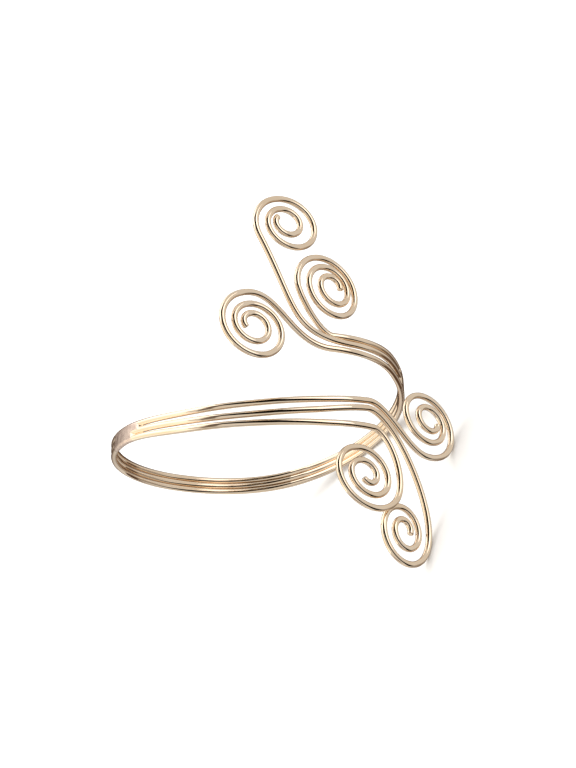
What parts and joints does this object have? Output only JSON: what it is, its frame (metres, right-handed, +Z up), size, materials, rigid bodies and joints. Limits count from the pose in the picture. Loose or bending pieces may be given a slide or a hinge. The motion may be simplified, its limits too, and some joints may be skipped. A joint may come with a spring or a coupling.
{
  "type": "upper arm cuff",
  "caption": "Open upper arm cuff of three soldered round wires that fan out at the front into flat spiral scrolls.",
  "frame": {"origin": "centre of the bounding box, at the surface the cuff lies on", "axes": "+Z up; -Y from the arm hollow towards the scroll panel; the axis of the arm runs along +X, rising 19 degrees"},
  "size_m": [0.0822, 0.0878, 0.0779],
  "materials": {
    "plated_wire": "polished, pale champagne gold plating"
  },
  "bodies": {
    "root": {"cuff": "plated_wire"}
  },
  "joints": []
}
